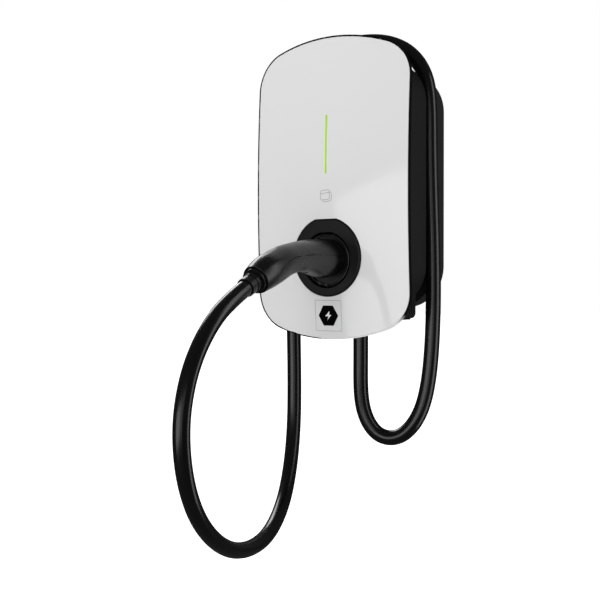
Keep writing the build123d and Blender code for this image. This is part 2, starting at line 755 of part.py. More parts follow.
def lip_ring(d, bore_d, u0, u1):
    ring = Pos(0, 0, (u0 + u1) / 2) * Cylinder(d / 2, u1 - u0)
    if bore_d:
        ring = ring - Pos(0, 0, (u0 + u1) / 2) * Cylinder(bore_d / 2, u1 - u0 + 2)
    return at_lip(ring)


handle = handle - at_lip(Pos(0, 0, 15) * Box(60, 60, 30)) - hollow
seam = Spline(*[(0, y, z) for y, z in seam_points])
first = seam_points[0]
last = seam_points[-1]
below = Polyline((0, last[0], last[1]), (0, last[0], -125), (0, first[0], -125), (0, *first))
lower_region = extrude(make_face([seam, below]), amount=40, both=True)
gap_region = lower_region + lower_region.moved(Location((0, 0, seam_gap)))
gap_region = gap_region + lower_region.moved(Location((0, -seam_gap, 0)))
handle_upper = handle - gap_region
handle_lower = handle & lower_region
screw_spots = [(apex_y - 36.0, -70.2), (apex_y - 62.0, -72.7)]
handle_screws = []
for y, z in screw_spots:
    tall = Pos(0, y, z) * Cylinder(3.4, 60)
    inside = tall & hollow
    top_boss = inside - lower_region.moved(Location((0, 0, seam_gap)))
    low_boss = inside & lower_region
    handle_upper = handle_upper + top_boss
    handle_lower = handle_lower + low_boss
    handle_upper = handle_upper - Pos(0, y, z + 4) * Cylinder(1.55, 16)
    handle_lower = handle_lower - Pos(0, y, z - 20) * Cylinder(1.7, 60)
    handle_lower = handle_lower - Pos(0, y, z - 6 - 30) * Cylinder(3.0, 60)
    shank = Pos(0, y, z + 1.5) * Cylinder(1.5, 15)
    head = Pos(0, y, z - 7) * Cylinder(2.8, 2)
    handle_screws.append(shank + head)
nut_bore = lip_ring(nut_shank_d + 0.4, 0, -14, 2)
handle_upper = handle_upper - nut_bore - lip_ring(lip_recess_d, 0, -lip_recess_depth, 2)
handle_upper = handle_upper.solids().sort_by(SortBy.VOLUME)[-1]
handle_lower = handle_lower.solids().sort_by(SortBy.VOLUME)[-1]
save("handle_upper", handle_upper)
save("handle_lower", handle_lower)
save("handle_screws", Compound(children=handle_screws))

# Clamp nut in the lip and the tapered boot that comes out of it
nut_back = 0.6 - lip_recess_depth
nut = lip_ring(nut_shank_d, nut_inner_d - 2.0, -10, nut_back)
nut = nut + lip_ring(nut_d, nut_inner_d, nut_back, nut_front)
nut = nut - lip_ring(nut_d + 4, nut_d - 1.0, 1.0, 1.8)
save("clamp_nut", nut)
boot = lip_ring(nut_inner_d - 0.2, 0, nut_back + 0.1, boot_length)
boot = boot + lip_ring(boot_bead_d, 0, nut_front + 0.2, nut_front + 5.4)
boot = boot - lip_ring(cable_d + 0.1, 0, nut_back - 5, boot_length + 5)
save("bend_relief", boot)

# Charging cable: gland, right loop, right groove, over the top, left groove, front loop, plug
groove_y = (tub_back_y + flange_y) / 2


def lip_point(u):
    angle = math.radians(lip_tilt)
    return (0.0, lip_y - u * math.cos(angle), lip_z - u * math.sin(angle))


cable_route = [
    (gland_x, gland_y, tub_bottom + cable_in_housing),
    (gland_x, gland_y, tub_bottom + cable_in_housing - 32),
    (17.2, -56.3, -172.0),
    (16.7, -55.8, -194.9),
    (16.9, -54.8, -211.8),
    (18.9, -53.4, -226.5),
    (24.0, -51.6, -239.8),
    (32.7, -48.8, -250.4),
    (44.6, -45.8, -254.2),
    (56.6, -42.6, -251.2),
    (66.3, -39.6, -242.5),
    (73.1, -37.0, -231.4),
    (77.7, -34.8, -219.2),
    (81.0, -32.8, -204.0),
    (83.8, -31.1, -182.0),
    (85.9, -30.0, -148.5),
    (86.8, groove_y, -105.0),
    (86.1, groove_y, -55.5),
    (84.3, groove_y, -5.0),
    (83.1, groove_y, 41.0),
    (82.9, groove_y, 78.0),
    (80.5, groove_y, 105.0),
    (72.8, groove_y, 123.6),
    (62.0, groove_y, 136.8),
    (47.2, groove_y, 147.4),
    (26.0, groove_y, 155.0),
    (0.0, groove_y, 157.6),
    (-26.0, groove_y, 155.0),
    (-47.2, groove_y, 147.4),
    (-62.0, groove_y, 136.8),
    (-72.8, groove_y, 123.6),
    (-80.5, groove_y, 105.0),
    (-83.0, groove_y, 78.0),
    (-83.6, groove_y, 32.0),
    (-84.6, groove_y, -26.0),
    (-85.4, groove_y, -86.0),
    (-85.6, -29.0, -143.0),
    (-85.0, -28.2, -198.5),
    (-82.1, -33.1, -249.8),
    (-75.1, -50.0, -294.1),
    (-62.9, -81.4, -329.1),
    (-46.7, -129.5, -350.2),
    (-31.5, -183.8, -352.3),
    (-16.9, -238.3, -338.4),
    (-5.5, -286.2, -306.7),
    (-0.4, -312.4, -265.3),
    (0.0, -318.7, -217.5),
    (0.0, -308.2, -174.3),
    (0.0, -285.6, -139.5),
    lip_point(cable_in_nut + 40),
    lip_point(cable_in_nut),
]


def bend_radii(points):
    radii = []
    for a, b, c in zip(points, points[1:], points[2:]):
        u = Vector(*b) - Vector(*a)
        v = Vector(*c) - Vector(*b)
        half_turn = math.radians(u.get_angle(v)) / 2
        radii.append(0.45 * min(u.length, v.length) / math.tan(half_turn))
    return radii


radii = bend_radii(cable_route)
print("bend radii", [round(r, 1) for r in radii])
centreline = FilletPolyline(*cable_route, radius=radii)
print("cable length", round(centreline.length, 1))
start = Plane(origin=cable_route[0], z_dir=centreline % 0)
cable = sweep(start * Circle(cable_d / 2), path=centreline)
print("volume ratio", round(cable.volume / (centreline.length * math.pi * cable_d**2 / 4), 4))
save("charging_cable", cable)


# Wires from the cable's end to the terminals, and in the handle to the plug's sleeves
def wire(points, d, bend=3.0):
    path = FilletPolyline(*points, radius=bend)
    plane = Plane(origin=points[0], z_dir=path % 0)
    return sweep(plane * Circle(d / 2), path=path)


leads = []
cable_top = tub_bottom + cable_in_housing
for i in range(7):
    x0 = gland_x + (i - 3) * 2.0
    y0 = gland_y + (2.2 if i % 2 else -2.2)
    lane = 37.0 + 4.0 * i
    x1 = 2.0 + (i + 0.5) * lead_pitch
    entry_y = board_front - 6.5
    points = [
        (x0, y0, cable_top),
        (x0, y0, cable_top + 3.5),
        (lane, y0 + 1.0, cable_top + 23),
        (lane, entry_y + 0.2, -52.0 + i),
        (x1, entry_y, board_bottom - 8.0),
        (x1, entry_y, board_bottom + 6.0),
    ]
    leads.append(wire(points, 2.6 if i < 5 else 1.8))
save("cable_leads", Compound(children=leads))

plug_wires = [lip_ring(cable_d, 0, -14, cable_in_nut)]
wire_targets = contact_points + pilot_points
lanes = [(6.2, 0.3), (-9.6, 0.0), (10.4, 0.0), (-6.4, -5.6), (6.4, -5.2), (-6.4, 5.8), (6.6, 5.6)]
lane_rows = [handle_sections[8], handle_sections[6], handle_sections[4]]
for i, (x, y) in enumerate(wire_targets):
    d = 2.8 if i < 5 else 1.8
    lane_x, lane_z = lanes[i]
    turn = math.atan2(lane_z, lane_x)
    spread = Vector(4.9 * math.cos(turn), 4.9 * math.sin(turn), -14.0)
    begin = lip_plane.from_local_coords(spread)
    middle = [(lane_x, row[0], row[1] + lane_z) for row in lane_rows]
    end = holster_plane.from_local_coords(Vector(x, y - opening_drop, -sleeve_front))
    path = Spline(
        tuple(begin),
        *middle,
        tuple(end),
        tangents=[lip_plane.z_dir * -1, holster_plane.z_dir * -1],
    )
    plane = Plane(origin=path @ 0, z_dir=path % 0)
    plug_wires.append(sweep(plane * Circle(d / 2), path=path))
save("plug_leads", Compound(children=plug_wires))
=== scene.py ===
# %% [markdown]
# A wall charger for electric cars, dressed for its picture.
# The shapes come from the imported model. This lesson gives them their finishes, adds what is
# printed and what is soft, and sets up the light and the camera.

# %% Start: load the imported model
import math
import bmesh
import bpy
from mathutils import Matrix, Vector
from mathutils.bvhtree import BVHTree


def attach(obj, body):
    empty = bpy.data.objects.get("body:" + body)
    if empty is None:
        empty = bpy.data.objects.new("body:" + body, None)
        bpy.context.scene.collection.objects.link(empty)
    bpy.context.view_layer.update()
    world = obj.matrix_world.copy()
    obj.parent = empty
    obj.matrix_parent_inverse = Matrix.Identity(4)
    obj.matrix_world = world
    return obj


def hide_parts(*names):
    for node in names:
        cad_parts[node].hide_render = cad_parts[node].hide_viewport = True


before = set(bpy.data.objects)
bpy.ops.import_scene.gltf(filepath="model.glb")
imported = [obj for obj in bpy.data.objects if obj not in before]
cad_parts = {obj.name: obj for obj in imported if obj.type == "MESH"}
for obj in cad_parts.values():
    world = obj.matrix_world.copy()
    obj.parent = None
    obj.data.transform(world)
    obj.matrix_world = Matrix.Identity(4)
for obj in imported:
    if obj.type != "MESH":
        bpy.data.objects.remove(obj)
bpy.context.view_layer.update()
mm = 0.001

# %% [markdown]
# The camera stands to the right of the charger, a little below its middle, and looks almost
# level at it. A lens of 66 mm keeps the upright edges nearly parallel.

# %% Camera
camera_data = bpy.data.cameras.new("camera")
camera_data.lens = 66.02
camera_data.sensor_width = 36.0
camera = bpy.data.objects.new("camera", camera_data)
camera.location = (0.60453, -1.02009, -0.10126)
camera.rotation_euler = (math.radians(90 - 0.60), 0, math.radians(34.52))
bpy.context.scene.collection.objects.link(camera)
bpy.context.scene.camera = camera
print("lens", camera_data.lens, "mm")

# %% [markdown]
# The finishes are built from nodes. One helper empties a node tree, and the other adds a
# step of arithmetic to it.

# %% Helpers for node trees
scene = bpy.context.scene
scene.view_settings.view_transform = "Standard"


def fresh_tree(data):
    data.use_nodes = True
    data.node_tree.nodes.clear()
    return data.node_tree


def math_node(tree, operation, *values):
    node = tree.nodes.new("ShaderNodeMath")
    node.operation = operation
    for socket, value in zip(node.inputs, values):
        if isinstance(value, (int, float)):
            socket.default_value = value
        else:
            tree.links.new(value, socket)
    return node.outputs[0]


# %% [markdown]
# The charger hangs in front of white. Rays from the camera meet a white world, and mirror
# images meet a much quieter one, so that black plastic keeps its dark edges.

# %% World
mirror_share = 0.06
world = bpy.data.worlds.new("studio")
scene.world = world
tree = fresh_tree(world)
world_ray = tree.nodes.new("ShaderNodeLightPath")
mirrored = math_node(tree, "MULTIPLY", world_ray.outputs["Is Glossy Ray"], mirror_share)
seen = math_node(tree, "MAXIMUM", world_ray.outputs["Is Camera Ray"], mirrored)
seen = math_node(tree, "MAXIMUM", seen, world_ray.outputs["Is Transmission Ray"])
white = tree.nodes.new("ShaderNodeBackground")
white.inputs["Strength"].default_value = 1.0
soft = tree.nodes.new("ShaderNodeBackground")
soft.inputs["Strength"].default_value = 0.5
mix = tree.nodes.new("ShaderNodeMixShader")
out = tree.nodes.new("ShaderNodeOutputWorld")
black = tree.nodes.new("ShaderNodeBackground")
black.inputs["Strength"].default_value = 0.0
diffuse_only = tree.nodes.new("ShaderNodeMixShader")
tree.links.new(world_ray.outputs["Is Glossy Ray"], diffuse_only.inputs[0])
tree.links.new(soft.outputs[0], diffuse_only.inputs[1])
tree.links.new(black.outputs[0], diffuse_only.inputs[2])
for node in (white, soft, black):
    node.inputs["Color"].default_value = (1, 1, 1, 1)
tree.links.new(seen, mix.inputs[0])
tree.links.new(diffuse_only.outputs[0], mix.inputs[1])
tree.links.new(white.outputs[0], mix.inputs[2])
tree.links.new(mix.outputs[0], out.inputs[0])
print("mirror images see", mirror_share, "of the world")

# %% [markdown]
# A white floor lies below the lowest loop of the cable and keeps the soft shadow. It glows
# more with distance until it meets the world, and mirror images see little of it.

# %% Floor
floor_z = -1.2
floor_hidden_share = 0.92
floor_mesh = bpy.data.meshes.new("floor")
shape = bmesh.new()
bmesh.ops.create_grid(shape, x_segments=1, y_segments=1, size=40)
bmesh.ops.translate(shape, vec=(0, 0, floor_z), verts=shape.verts)
shape.to_mesh(floor_mesh)
shape.free()
floor = bpy.data.objects.new("floor", floor_mesh)
scene.collection.objects.link(floor)
floor_paint = bpy.data.materials.new("floor_paint")
tree = fresh_tree(floor_paint)
coords = tree.nodes.new("ShaderNodeTexCoord")
length = tree.nodes.new("ShaderNodeVectorMath")
length.operation = "LENGTH"
tree.links.new(coords.outputs["Object"], length.inputs[0])
far = tree.nodes.new("ShaderNodeMapRange")
far.inputs["From Min"].default_value = 1.2
far.inputs["From Max"].default_value = 3.2
far.inputs["To Min"].default_value = 0.62
far.inputs["To Max"].default_value = 1.0
tree.links.new(length.outputs["Value"], far.inputs["Value"])
ray = tree.nodes.new("ShaderNodeLightPath")
glow = tree.nodes.new("ShaderNodeEmission")
strength = math_node(tree, "MULTIPLY", ray.outputs["Is Camera Ray"], far.outputs["Result"])
tree.links.new(strength, glow.inputs["Strength"])
diffuse = tree.nodes.new("ShaderNodeBsdfDiffuse")
diffuse.inputs["Color"].default_value = (0.85, 0.85, 0.85, 1)
total = tree.nodes.new("ShaderNodeAddShader")
tree.links.new(diffuse.outputs[0], total.inputs[0])
tree.links.new(glow.outputs[0], total.inputs[1])
dark = tree.nodes.new("ShaderNodeBsdfDiffuse")
dark.inputs["Color"].default_value = (0.0, 0.0, 0.0, 1)
quiet = tree.nodes.new("ShaderNodeMixShader")
hidden = math_node(tree, "MULTIPLY", ray.outputs["Is Glossy Ray"], floor_hidden_share)
tree.links.new(hidden, quiet.inputs[0])
tree.links.new(total.outputs[0], quiet.inputs[1])
tree.links.new(dark.outputs[0], quiet.inputs[2])
out = tree.nodes.new("ShaderNodeOutputMaterial")
tree.links.new(quiet.outputs[0], out.inputs[0])
floor_mesh.materials.append(floor_paint)
print("floor at", floor_z, "m")

# %% [markdown]
# Four large lamps give the soft light of a studio: one in front, one above that mirror
# images don't show, one to the right, and one high behind the left shoulder, which draws
# the bright line along the handle and the cable. A narrow lamp close to the right side
# draws the line along the right loop of the cable.

# %% Lamps


def lamp(name, azimuth, elevation, distance, size, radiance):
    # azimuth 0 is straight in front of the charger, and grows to the right
    a, e = math.radians(azimuth), math.radians(elevation)
    aim = Vector((0, -0.1, 0))
    level = Vector((math.sin(a), -math.cos(a), 0)) * math.cos(e)
    place = aim + distance * (level + Vector((0, 0, math.sin(e))))
    data = bpy.data.lights.new(name, "AREA")
    data.shape = "RECTANGLE"
    data.size, data.size_y = size
    data.energy = radiance * math.pi * size[0] * size[1]
    obj = bpy.data.objects.new(name, data)
    obj.location = place
    obj.rotation_euler = (aim - place).to_track_quat("-Z", "Y").to_euler()
    scene.collection.objects.link(obj)
    print(name, round(data.energy, 1), "W")
    return obj


front_lamp = lamp("front_lamp", -6, -5, 2.6, (2.2, 1.2), 2.15)
front_lamp.rotation_euler.rotate_axis("Z", math.radians(10))
top_lamp = lamp("top_lamp", -16, 62, 2.6, (2.4, 1.6), 3.2)
top_lamp.visible_glossy = False
lamp("fill_lamp", 31, 0, 2.6, (1.0, 1.4), 0.8)
lamp("side_lamp", 108, -8, 0.42, (0.16, 0.9), 2.0)
lamp("back_lamp", -118, 34, 2.4, (1.3, 0.9), 5.0)

# %% [markdown]
# Every moulded piece has a fine spark-eroded grain. A node group makes it once. A small
# noise gives the height for the bump, a slower one shifts the roughness, as handling and
# mould wear do, and the same slow one makes the colour a little uneven.

# %% The grain group


def make_grain_group():
    group = bpy.data.node_groups.new("moulded_grain", "ShaderNodeTree")
    floats = (("Scale", 900.0), ("Roughness", 0.5), ("Variation", 0.06))
    for name, value in floats:
        socket = group.interface.new_socket(name, in_out="INPUT", socket_type="NodeSocketFloat")
        socket.default_value = value
    group.interface.new_socket("Color", in_out="INPUT", socket_type="NodeSocketColor")
    for name in ("Height", "Roughness"):
        group.interface.new_socket(name, in_out="OUTPUT", socket_type="NodeSocketFloat")
    group.interface.new_socket("Color", in_out="OUTPUT", socket_type="NodeSocketColor")
    start = group.nodes.new("NodeGroupInput")
    end = group.nodes.new("NodeGroupOutput")
    coords = group.nodes.new("ShaderNodeTexCoord")
    fine = group.nodes.new("ShaderNodeTexNoise")
    fine.inputs["Detail"].default_value = 2.0
    group.links.new(coords.outputs["Object"], fine.inputs["Vector"])
    group.links.new(start.outputs["Scale"], fine.inputs["Scale"])
    group.links.new(fine.outputs["Fac"], end.inputs["Height"])
    slow = group.nodes.new("ShaderNodeTexNoise")
    slow.inputs["Scale"].default_value = 28.0
    slow.inputs["Detail"].default_value = 3.0
    group.links.new(coords.outputs["Object"], slow.inputs["Vector"])
    centred = math_node(group, "SUBTRACT", slow.outputs["Fac"], 0.5)
    spread, base = start.outputs["Variation"], start.outputs["Roughness"]
    uneven = math_node(group, "MULTIPLY_ADD", centred, spread, base)
    group.links.new(uneven, end.inputs["Roughness"])
    shade = math_node(group, "MULTIPLY_ADD", centred, 0.25, 1.0)
    scaled = group.nodes.new("ShaderNodeVectorMath")
    scaled.operation = "SCALE"
    group.links.new(start.outputs["Color"], scaled.inputs[0])
    group.links.new(shade, scaled.inputs["Scale"])
    group.links.new(scaled.outputs[0], end.inputs["Color"])
    return group


grain_group = make_grain_group()
print("the grain group has", len(grain_group.nodes), "nodes")

# %% [markdown]
# A moulded finish puts this grain on one plain shader. Only the colour, the roughness, the
# mirror share and the depth of the grain differ from piece to piece.

# %% A moulded finish


def moulded(name, colour, roughness, specular=0.25, grain=0.06, scale=900.0, metal=0.0):
    material = bpy.data.materials.new(name)
    tree = fresh_tree(material)
    shader = tree.nodes.new("ShaderNodeBsdfPrincipled")
    shader.inputs["Specular IOR Level"].default_value = specular
    shader.inputs["Metallic"].default_value = metal
    grain_node = tree.nodes.new("ShaderNodeGroup")
    grain_node.node_tree = grain_group
    grain_node.inputs["Scale"].default_value = scale
    grain_node.inputs["Roughness"].default_value = roughness
    grain_node.inputs["Variation"].default_value = 0.08
    grain_node.inputs["Color"].default_value = (*colour, 1)
    tree.links.new(grain_node.outputs["Color"], shader.inputs["Base Color"])
    tree.links.new(grain_node.outputs["Roughness"], shader.inputs["Roughness"])
    bump = tree.nodes.new("ShaderNodeBump")
    bump.inputs["Strength"].default_value = grain
    bump.inputs["Distance"].default_value = 0.0004
    tree.links.new(grain_node.outputs["Height"], bump.inputs["Height"])
    tree.links.new(bump.outputs["Normal"], shader.inputs["Normal"])
    out = tree.nodes.new("ShaderNodeOutputMaterial")
    tree.links.new(shader.outputs[0], out.inputs[0])
    return material


# %% [markdown]
# The front is glass with white paint behind it. The paint is a little uneven, and the glass
# has the slight waviness of a heat-bent sheet.

# %% White glass
white_glass = bpy.data.materials.new("white_glass")
tree = fresh_tree(white_glass)
shader = tree.nodes.new("ShaderNodeBsdfPrincipled")
coords = tree.nodes.new("ShaderNodeTexCoord")
paint = tree.nodes.new("ShaderNodeTexNoise")
paint.inputs["Scale"].default_value = 9.0
tree.links.new(coords.outputs["Object"], paint.inputs["Vector"])
ramp = tree.nodes.new("ShaderNodeValToRGB")
ramp.color_ramp.elements[0].color = (0.690, 0.690, 0.692, 1)
ramp.color_ramp.elements[1].color = (0.705, 0.705, 0.707, 1)
tree.links.new(paint.outputs["Fac"], ramp.inputs["Fac"])
tree.links.new(ramp.outputs["Color"], shader.inputs["Base Color"])
wave = tree.nodes.new("ShaderNodeTexNoise")
wave.inputs["Scale"].default_value = 14.0
tree.links.new(coords.outputs["Object"], wave.inputs["Vector"])
bump = tree.nodes.new("ShaderNodeBump")
bump.inputs["Strength"].default_value = 0.02
bump.inputs["Distance"].default_value = 0.002
tree.links.new(wave.outputs["Fac"], bump.inputs["Height"])
tree.links.new(bump.outputs["Normal"], shader.inputs["Normal"])
shader.inputs["Roughness"].default_value = 0.08
shader.inputs["Specular IOR Level"].default_value = 0.5
out = tree.nodes.new("ShaderNodeOutputMaterial")
tree.links.new(shader.outputs[0], out.inputs[0])

# %% [markdown]
# Each finish is a colour, a roughness and a share of mirror reflection. The blacks differ
# a little: the housing is the dullest, and the cable and the collar shine most.

# %% Finishes
housing_black = moulded("housing_black", (0.0095, 0.0095, 0.0100), 0.45, 0.25)
rear_black = moulded("rear_black", (0.0145, 0.0145, 0.0150), 0.45, 0.3)
bezel_black = moulded("bezel_black", (0.004, 0.004, 0.004), 0.33, 0.26)
cup_black = moulded("cup_black", (0.003, 0.003, 0.003), 0.38, 0.35, grain=0.02)
collar_black = moulded("collar_black", (0.004, 0.004, 0.004), 0.22, 0.6, grain=0.004)
handle_black = moulded("handle_black", (0.0032, 0.0029, 0.0032), 0.28, 0.5, grain=0.006)
nut_black = moulded("nut_black", (0.004, 0.004, 0.004), 0.25, 0.4, grain=0.01)
rubber_black = moulded("rubber_black", (0.004, 0.004, 0.004), 0.3, 0.4, grain=0.01)
cable_colour = (0.0025, 0.0022, 0.0026)
cable_black = moulded("cable_black", cable_colour, 0.23, 0.55, grain=0.004, scale=700.0)
port_black = moulded("port_black", (0.008, 0.008, 0.008), 0.5, 0.25)
steel = moulded("bracket_steel", (0.55, 0.55, 0.56), 0.35, 0.5, metal=1.0)
board_green = moulded("board_green", (0.02, 0.12, 0.05), 0.4, 0.5)
brass = moulded("contact_brass", (0.75, 0.58, 0.28), 0.3, 0.5, metal=1.0)
grey_plastic = moulded("grey_plastic", (0.3, 0.3, 0.31), 0.5, 0.4)
dark_plastic = moulded("dark_plastic", (0.03, 0.03, 0.033), 0.5, 0.4)
print(len(bpy.data.materials), "finishes")

# %% [markdown]
# The rim round the glass is black. Low on the right, where its edge faces the bright floor,
# the black fades to a pale grey in the colour itself: a painted highlight.

# %% Rim
rim_black_painted_highlight = moulded("rim_black_painted_highlight", (0.002, 0.002, 0.002), 0.5, 0.08)
tree = rim_black_painted_highlight.node_tree
coords = tree.nodes.new("ShaderNodeTexCoord")
axes = tree.nodes.new("ShaderNodeSeparateXYZ")
tree.links.new(coords.outputs["Object"], axes.inputs[0])
# painted highlight: a mask that grows towards the right and the bottom of the rim
highlight_shares = []
for axis, start, end in (("X", -0.035, 0.0), ("Z", -0.127, -0.136)):
    ramp = tree.nodes.new("ShaderNodeMapRange")
    ramp.inputs["From Min"].default_value = start
    ramp.inputs["From Max"].default_value = end
    tree.links.new(axes.outputs[axis], ramp.inputs["Value"])
    highlight_shares.append(ramp.outputs["Result"])
highlight_blend = tree.nodes.new("ShaderNodeMix")
highlight_blend.data_type = "RGBA"
tree.links.new(math_node(tree, "MULTIPLY", *highlight_shares), highlight_blend.inputs["Factor"])
grain_node = next(node for node in tree.nodes if node.type == "GROUP")
shader = next(node for node in tree.nodes if node.type == "BSDF_PRINCIPLED")
tree.links.new(grain_node.outputs["Color"], highlight_blend.inputs["A"])
# the pale grey of the painted highlight
highlight_blend.inputs["B"].default_value = (0.8, 0.8, 0.8, 1)
tree.links.new(highlight_blend.outputs["Result"], shader.inputs["Base Color"])

# %% [markdown]
# The status light is a clear strip that glows green and fades a little towards its ends.

# %% Light line
light_line = bpy.data.materials.new("light_line")
tree = fresh_tree(light_line)
light_z = 0.0435
shader = tree.nodes.new("ShaderNodeBsdfPrincipled")
coords = tree.nodes.new("ShaderNodeTexCoord")
axes = tree.nodes.new("ShaderNodeSeparateXYZ")
tree.links.new(coords.outputs["Object"], axes.inputs[0])
away = math_node(tree, "ABSOLUTE", math_node(tree, "SUBTRACT", axes.outputs["Z"], light_z))
ends = tree.nodes.new("ShaderNodeMapRange")
ends.inputs["From Min"].default_value = 0.020
ends.inputs["From Max"].default_value = 0.030
tree.links.new(away, ends.inputs["Value"])
ramp = tree.nodes.new("ShaderNodeValToRGB")
ramp.color_ramp.elements[0].color = (0.39, 0.70, 0.012, 1)
ramp.color_ramp.elements[1].color = (0.35, 0.65, 0.012, 1)
tree.links.new(ends.outputs["Result"], ramp.inputs["Fac"])
tree.links.new(ramp.outputs["Color"], shader.inputs["Emission Color"])
shader.inputs["Emission Strength"].default_value = 1.0
shader.inputs["Specular IOR Level"].default_value = 0.1
shader.inputs["Base Color"].default_value = (0.02, 0.03, 0.002, 1)
shader.inputs["Roughness"].default_value = 0.3
out = tree.nodes.new("ShaderNodeOutputMaterial")
tree.links.new(shader.outputs[0], out.inputs[0])

# %% [markdown]
# The pieces that are seen are named one by one. The others take theirs from a word in
# their name: screws are steel, boards green, seals and leads rubber.

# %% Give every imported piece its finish
finishes = {
    "front_panel": white_glass,
    "panel_carrier": rim_black_painted_highlight,
    "light_guide": light_line,
    "holster_bezel": bezel_black,
    "holster_cup": cup_black,
    "housing_tub": housing_black,
    "rear_shell": rear_black,
    "wall_bracket": steel,
    "handle_upper": handle_black,
    "handle_lower": handle_black,
    "clamp_nut": nut_black,
    "bend_relief": rubber_black,
    "plug_nose": cup_black,
    "plug_sleeves": brass,
    "signal_port": port_black,
    "signal_port_cap": port_black,
    "charging_gland_body": port_black,
    "charging_gland_nut": port_black,
    "supply_gland_body": port_black,
    "supply_gland_nut": port_black,
    "vent_plug": port_black,
    "terminal_block": grey_plastic,
    "supply_terminals": grey_plastic,
    "radio_module": steel,
}
for name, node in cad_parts.items():
    finish = finishes.get(name)
    if finish is None:
        if "screws" in name or "standoffs" in name:
            finish = steel
        elif "board" in name:
            finish = board_green
        elif "seal" in name or "gasket" in name or "plug" in name or "leads" in name:
            finish = rubber_black
        else:
            finish = dark_plastic
    for slot in node.material_slots:
        slot.material = finish
    node.shadow_terminator_geometry_offset = 0.2
print("finished", len(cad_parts), "packed pieces")

# %% [markdown]
# What is printed on the glass lies on its dome. The dome is a circle arc across, turned
# about a level line far behind, so a point of the print takes its depth from the same two
# radii as the glass.

# %% Points on the dome
# the front of the glass, and its radii across and upright
apex_y = -0.096
crown_x = 0.549
crown_z = 1.604


def on_dome(x, z, lift):
    across = crown_z - crown_x + math.sqrt(crown_x**2 - x**2)
    return Vector((x, apex_y + crown_z - math.sqrt(across**2 - z**2) - lift, z))


def print_mesh(name, material, faces, lift):
    # faces: lists of flat (x, z) points, in metres
    mesh = bpy.data.meshes.new(name)
    shape = bmesh.new()
    for face in faces:
        shape.faces.new([shape.verts.new(on_dome(x, z, lift)) for x, z in face])
    bmesh.ops.remove_doubles(shape, verts=shape.verts, dist=1e-6)
    bmesh.ops.recalc_face_normals(shape, faces=shape.faces)
    front = sum((face.normal.y * face.calc_area() for face in shape.faces), 0.0)
    if front > 0:
        bmesh.ops.reverse_faces(shape, faces=shape.faces)
    shape.to_mesh(mesh)
    shape.free()
    mesh.materials.append(material)
    obj = bpy.data.objects.new(name, mesh)
    scene.collection.objects.link(obj)
    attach(obj, "root")
    print(name, len(mesh.polygons), "faces")


def line_faces(points, width, closed=False):
    # A printed line along flat points, with mitred corners
    count = len(points)
    sides = []
    for i, point in enumerate(points):
        here = Vector(point)
        before = Vector(points[i - 1]) if closed or i > 0 else None
        after = Vector(points[(i + 1) % count]) if closed or i < count - 1 else None
        if before is None:
            normal = (after - here).orthogonal().normalized()
            reach = 1.0
        elif after is None:
            normal = (here - before).orthogonal().normalized()
            reach = 1.0
        else:
            first = (here - before).orthogonal().normalized()
            second = (after - here).orthogonal().normalized()
            normal = (first + second).normalized()
            reach = 1 / max(0.4, normal.dot(first))
        sides.append((here - normal * width * reach / 2, here + normal * width * reach / 2))
    faces = []
    for i in range(count if closed else count - 1):
        a, b = sides[i], sides[(i + 1) % count]
        faces.append([tuple(a[0]), tuple(b[0]), tuple(b[1]), tuple(a[1])])
    return faces


def rounded(x0, z0, x1, z1, radius, steps=6):
    points = []
    corners = ((x1 - radius, z1 - radius, 0), (x0 + radius, z1 - radius, 90))
    corners += ((x0 + radius, z0 + radius, 180), (x1 - radius, z0 + radius, 270))
    for cx, cz, start in corners:
        for i in range(steps + 1):
            a = math.radians(start + 90 * i / steps)
            points.append((cx + radius * math.cos(a), cz + radius * math.sin(a)))
    return points


# %% [markdown]
# Below the light is the sign for the card reader, two cards one behind the other. Below
# the holster is a thin square frame round a black six-sided field with a bolt in it.

# %% Printed signs


def ink(name, colour, roughness, specular):
    return moulded(name, colour, roughness, specular, grain=0.03, scale=1500.0)


grey_ink = ink("grey_ink", (0.30, 0.30, 0.305), 0.4, 0.08)
# black for the printed field, and also for the painted shade strips on the glass edge and the
# handle seam
print_and_shade_black = ink("print_and_shade_black", (0.0012, 0.0012, 0.0012), 0.6, 0.02)
white_ink = ink("white_ink", (0.75, 0.75, 0.75), 0.4, 0.08)

sign_line = 0.5 * mm
slant = 0.055
card = rounded(-6.1 * mm, -12.1 * mm, 4.7 * mm, -2.6 * mm, 2.0 * mm)
card = [(x, z + slant * x) for x, z in card]
stripe = [((-6.1 + 2.0 * i) * mm, (-6.2 + 0.22 * i) * mm) for i in range(7)]
behind = [(6.2, -5.0), (6.9, -6.6), (6.9, -11.2), (6.2, -12.9), (4.8, -13.7), (1.0, -14.1)]
behind = [(x * mm, z * mm) for x, z in behind + [(-2.7, -14.2), (-4.3, -12.8)]]
sign = line_faces(card, sign_line, closed=True)
sign += line_faces(stripe, sign_line) + line_faces(behind, sign_line)
print_mesh("reader_sign", grey_ink, sign, 0.00005)

light_low, light_step = 14.1, 4.9
light_width = 2.15 * mm
glow = [(0.0, (light_low + light_step * i) * mm) for i in range(13)]
print_mesh("light_line_face", light_line, line_faces(glow, light_width), 0.00004)

label_z = -128.6 * mm
half = 15.4 * mm
frame_line = 0.42 * mm
side_steps = 12
edge = []
for i in range(side_steps + 1):
    edge.append((-half + 2 * half * i / side_steps, label_z + half))
for i in range(1, side_steps + 1):
    edge.append((half, label_z + half - 2 * half * i / side_steps))
for i in range(1, side_steps + 1):
    edge.append((half - 2 * half * i / side_steps, label_z - half))
for i in range(1, side_steps):
    edge.append((-half, label_z - half + 2 * half * i / side_steps))
print_mesh("label_frame", grey_ink, line_faces(edge, frame_line, closed=True), 0.00003)

